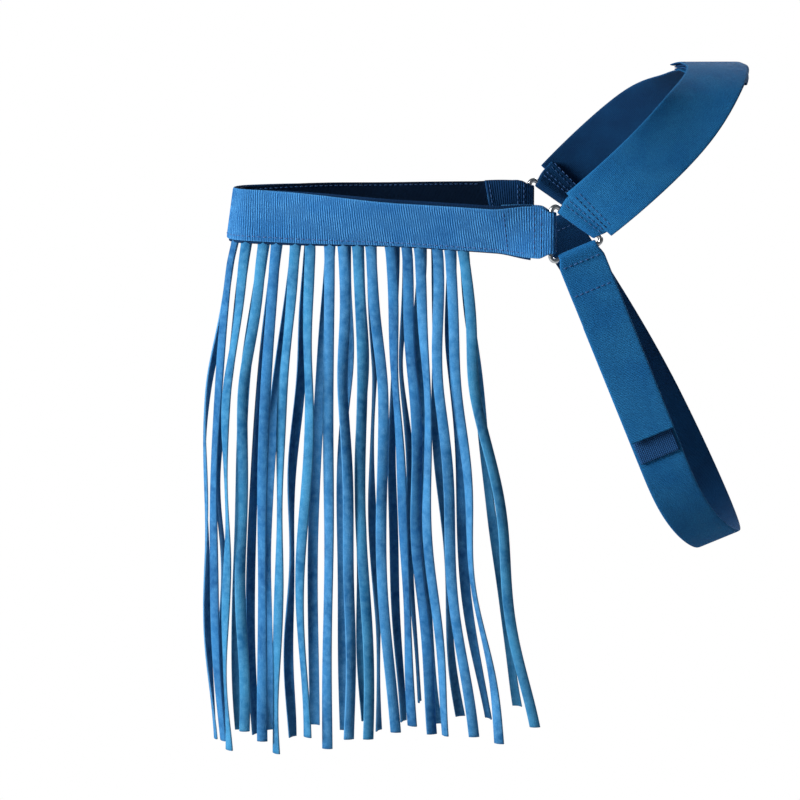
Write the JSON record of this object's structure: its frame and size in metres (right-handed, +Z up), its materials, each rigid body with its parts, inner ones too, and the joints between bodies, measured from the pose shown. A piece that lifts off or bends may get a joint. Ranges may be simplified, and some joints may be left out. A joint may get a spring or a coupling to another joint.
{
  "type": "fly fringe",
  "caption": "Browband of ribbed webbing with a curtain of flat hanging strings, on wire rings with a crown strap over the poll and a throat strap.",
  "frame": {"origin": "middle of the crown strap's underside, where it lies on the horse's poll", "axes": "+Z is up, -Y is the front of the horse's head, +X is the horse's left; the rings and webbing mirror across X = 0, apart from the closures"},
  "size_m": [0.1765, 0.3233, 0.4125],
  "materials": {
    "webbing": "ribbed woven webbing",
    "string": "flat brushed lace",
    "hook_and_loop": "hook and loop tape",
    "ring_steel": "bright plated wire"
  },
  "bodies": {
    "headband": {"ring_left": "ring_steel", "ring_right": "ring_steel", "browband_web": "webbing", "fringe_tape": "webbing", "browband_lining": "webbing", "crown_ring_loop_right": "webbing", "crown_strap_right": "webbing", "crown_loop_patch": "hook_and_loop"},
    "crown_left": {"crown_ring_loop_left": "webbing", "crown_strap_left": "webbing", "crown_hook_patch": "hook_and_loop"},
    "throat_left": {"throat_tab_left": "webbing", "throat_hook_patch": "hook_and_loop"},
    "throat_right": {"throat_strap_right": "webbing", "throat_loop_patch": "hook_and_loop"},
    "string_left_01": {"string_left_01": "string"},
    "string_left_02": {"string_left_02": "string"},
    "string_left_03": {"string_left_03": "string"},
    "string_left_04": {"string_left_04": "string"},
    "string_left_05": {"string_left_05": "string"},
    "string_left_06": {"string_left_06": "string"},
    "string_left_07": {"string_left_07": "string"},
    "string_left_08": {"string_left_08": "string"},
    "string_left_09": {"string_left_09": "string"},
    "string_left_10": {"string_left_10": "string"},
    "string_left_11": {"string_left_11": "string"},
    "string_left_12": {"string_left_12": "string"},
    "string_left_13": {"string_left_13": "string"},
    "string_left_14": {"string_left_14": "string"},
    "string_left_15": {"string_left_15": "string"},
    "string_left_16": {"string_left_16": "string"},
    "string_right_01": {"string_right_01": "string"},
    "string_right_02": {"string_right_02": "string"},
    "string_right_03": {"string_right_03": "string"},
    "string_right_04": {"string_right_04": "string"},
    "string_right_05": {"string_right_05": "string"},
    "string_right_06": {"string_right_06": "string"},
    "string_right_07": {"string_right_07": "string"},
    "string_right_08": {"string_right_08": "string"},
    "string_right_09": {"string_right_09": "string"},
    "string_right_10": {"string_right_10": "string"},
    "string_right_11": {"string_right_11": "string"},
    "string_right_12": {"string_right_12": "string"},
    "string_right_13": {"string_right_13": "string"},
    "string_right_14": {"string_right_14": "string"},
    "string_right_15": {"string_right_15": "string"},
    "string_right_16": {"string_right_16": "string"}
  },
  "joints": [
    {"name": "crown_left_open", "type": "hinge", "parent": "headband", "child": "crown_left", "pos_m": [0.0735, -0.08585, -0.07884], "axis": [0, 0.8186, -0.5743], "range_deg": [0, 60]},
    {"name": "throat_left_open", "type": "hinge", "parent": "headband", "child": "throat_left", "pos_m": [0.0735, -0.08585, -0.09609], "axis": [0, -0.9248, -0.3804], "range_deg": [0, 75]},
    {"name": "throat_right_open", "type": "hinge", "parent": "headband", "child": "throat_right", "pos_m": [-0.0735, -0.08585, -0.09609], "axis": [0, 0.9248, 0.3804], "range_deg": [0, 60]},
    {"name": "string_left_01_swing", "type": "hinge", "parent": "headband", "child": "string_left_01", "pos_m": [0.00822, -0.28193, -0.09837], "axis": [-0.8686, -0.4956, 0], "range_deg": [0, 60]},
    {"name": "string_left_02_swing", "type": "hinge", "parent": "headband", "child": "string_left_02", "pos_m": [0.01436, -0.27502, -0.09845], "axis": [-0.4635, -0.8861, 0], "range_deg": [0, 60]},
    {"name": "string_left_03_swing", "type": "hinge", "parent": "headband", "child": "string_left_03", "pos_m": [0.01722, -0.26493, -0.0986], "axis": [-0.3355, -0.9421, 0], "range_deg": [0, 60]},
    {"name": "string_left_04_swing", "type": "hinge", "parent": "headband", "child": "string_left_04", "pos_m": [0.01902, -0.25729, -0.09872], "axis": [-0.3355, -0.9421, 0], "range_deg": [0, 60]},
    {"name": "string_left_05_swing", "type": "hinge", "parent": "headband", "child": "string_left_05", "pos_m": [0.02139, -0.24625, -0.09883], "axis": [-0.3355, -0.9421, 0], "range_deg": [0, 60]},
    {"name": "string_left_06_swing", "type": "hinge", "parent": "headband", "child": "string_left_06", "pos_m": [0.0232, -0.23734, -0.09883], "axis": [-0.3355, -0.9421, 0], "range_deg": [0, 60]},
    {"name": "string_left_07_swing", "type": "hinge", "parent": "headband", "child": "string_left_07", "pos_m": [0.02542, -0.22634, -0.09873], "axis": [-0.3355, -0.9421, 0], "range_deg": [0, 60]},
    {"name": "string_left_08_swing", "type": "hinge", "parent": "headband", "child": "string_left_08", "pos_m": [0.02705, -0.21854, -0.09859], "axis": [-0.3355, -0.9421, 0], "range_deg": [0, 60]},
    {"name": "string_left_09_swing", "type": "hinge", "parent": "headband", "child": "string_left_09", "pos_m": [0.0289, -0.21028, -0.09841], "axis": [-0.3355, -0.9421, 0], "range_deg": [0, 60]},
    {"name": "string_left_10_swing", "type": "hinge", "parent": "headband", "child": "string_left_10", "pos_m": [0.03079, -0.20257, -0.09826], "axis": [-0.3355, -0.9421, 0], "range_deg": [0, 60]},
    {"name": "string_left_11_swing", "type": "hinge", "parent": "headband", "child": "string_left_11", "pos_m": [0.03388, -0.19135, -0.09813], "axis": [-0.3355, -0.9421, 0], "range_deg": [0, 60]},
    {"name": "string_left_12_swing", "type": "hinge", "parent": "headband", "child": "string_left_12", "pos_m": [0.03693, -0.18183, -0.09819], "axis": [-0.3355, -0.9421, 0], "range_deg": [0, 60]},
    {"name": "string_left_13_swing", "type": "hinge", "parent": "headband", "child": "string_left_13", "pos_m": [0.03944, -0.17476, -0.09836], "axis": [-0.3355, -0.9421, 0], "range_deg": [0, 60]},
    {"name": "string_left_14_swing", "type": "hinge", "parent": "headband", "child": "string_left_14", "pos_m": [0.04316, -0.1643, -0.09864], "axis": [-0.3355, -0.9421, 0], "range_deg": [0, 60]},
    {"name": "string_left_15_swing", "type": "hinge", "parent": "headband", "child": "string_left_15", "pos_m": [0.04561, -0.15742, -0.09884], "axis": [-0.3355, -0.9421, 0], "range_deg": [0, 60]},
    {"name": "string_left_16_swing", "type": "hinge", "parent": "headband", "child": "string_left_16", "pos_m": [0.04826, -0.14998, -0.09906], "axis": [-0.3355, -0.9421, 0], "range_deg": [0, 60]},
    {"name": "string_right_01_swing", "type": "hinge", "parent": "headband", "child": "string_right_01", "pos_m": [-0.00925, -0.28125, -0.09837], "axis": [-0.8295, 0.5585, 0], "range_deg": [0, 60]},
    {"name": "string_right_02_swing", "type": "hinge", "parent": "headband", "child": "string_right_02", "pos_m": [-0.01481, -0.27391, -0.09846], "axis": [-0.3966, 0.918, 0], "range_deg": [0, 60]},
    {"name": "string_right_03_swing", "type": "hinge", "parent": "headband", "child": "string_right_03", "pos_m": [-0.0176, -0.26337, -0.09863], "axis": [-0.3355, 0.9421, 0], "range_deg": [0, 60]},
    {"name": "string_right_04_swing", "type": "hinge", "parent": "headband", "child": "string_right_04", "pos_m": [-0.01935, -0.25582, -0.09874], "axis": [-0.3355, 0.9421, 0], "range_deg": [0, 60]},
    {"name": "string_right_05_swing", "type": "hinge", "parent": "headband", "child": "string_right_05", "pos_m": [-0.0217, -0.24476, -0.09883], "axis": [-0.3355, 0.9421, 0], "range_deg": [0, 60]},
    {"name": "string_right_06_swing", "type": "hinge", "parent": "headband", "child": "string_right_06", "pos_m": [-0.02324, -0.23714, -0.09883], "axis": [-0.3355, 0.9421, 0], "range_deg": [0, 60]},
    {"name": "string_right_07_swing", "type": "hinge", "parent": "headband", "child": "string_right_07", "pos_m": [-0.02578, -0.22456, -0.0987], "axis": [-0.3355, 0.9421, 0], "range_deg": [0, 60]},
    {"name": "string_right_08_swing", "type": "hinge", "parent": "headband", "child": "string_right_08", "pos_m": [-0.02772, -0.21549, -0.09853], "axis": [-0.3355, 0.9421, 0], "range_deg": [0, 60]},
    {"name": "string_right_09_swing", "type": "hinge", "parent": "headband", "child": "string_right_09", "pos_m": [-0.02946, -0.20793, -0.09836], "axis": [-0.3355, 0.9421, 0], "range_deg": [0, 60]},
    {"name": "string_right_10_swing", "type": "hinge", "parent": "headband", "child": "string_right_10", "pos_m": [-0.03134, -0.20043, -0.09822], "axis": [-0.3355, 0.9421, 0], "range_deg": [0, 60]},
    {"name": "string_right_11_swing", "type": "hinge", "parent": "headband", "child": "string_right_11", "pos_m": [-0.03545, -0.18629, -0.09814], "axis": [-0.3355, 0.9421, 0], "range_deg": [0, 60]},
    {"name": "string_right_12_swing", "type": "hinge", "parent": "headband", "child": "string_right_12", "pos_m": [-0.03793, -0.179, -0.09826], "axis": [-0.3355, 0.9421, 0], "range_deg": [0, 60]},
    {"name": "string_right_13_swing", "type": "hinge", "parent": "headband", "child": "string_right_13", "pos_m": [-0.04118, -0.16986, -0.09849], "axis": [-0.3355, 0.9421, 0], "range_deg": [0, 60]},
    {"name": "string_right_14_swing", "type": "hinge", "parent": "headband", "child": "string_right_14", "pos_m": [-0.04427, -0.16119, -0.09873], "axis": [-0.3355, 0.9421, 0], "range_deg": [0, 60]},
    {"name": "string_right_15_swing", "type": "hinge", "parent": "headband", "child": "string_right_15", "pos_m": [-0.04769, -0.15158, -0.09901], "axis": [-0.3355, 0.9421, 0], "range_deg": [0, 60]},
    {"name": "string_right_16_swing", "type": "hinge", "parent": "headband", "child": "string_right_16", "pos_m": [-0.05027, -0.14433, -0.09924], "axis": [-0.3355, 0.9421, 0], "range_deg": [0, 60]}
  ]
}
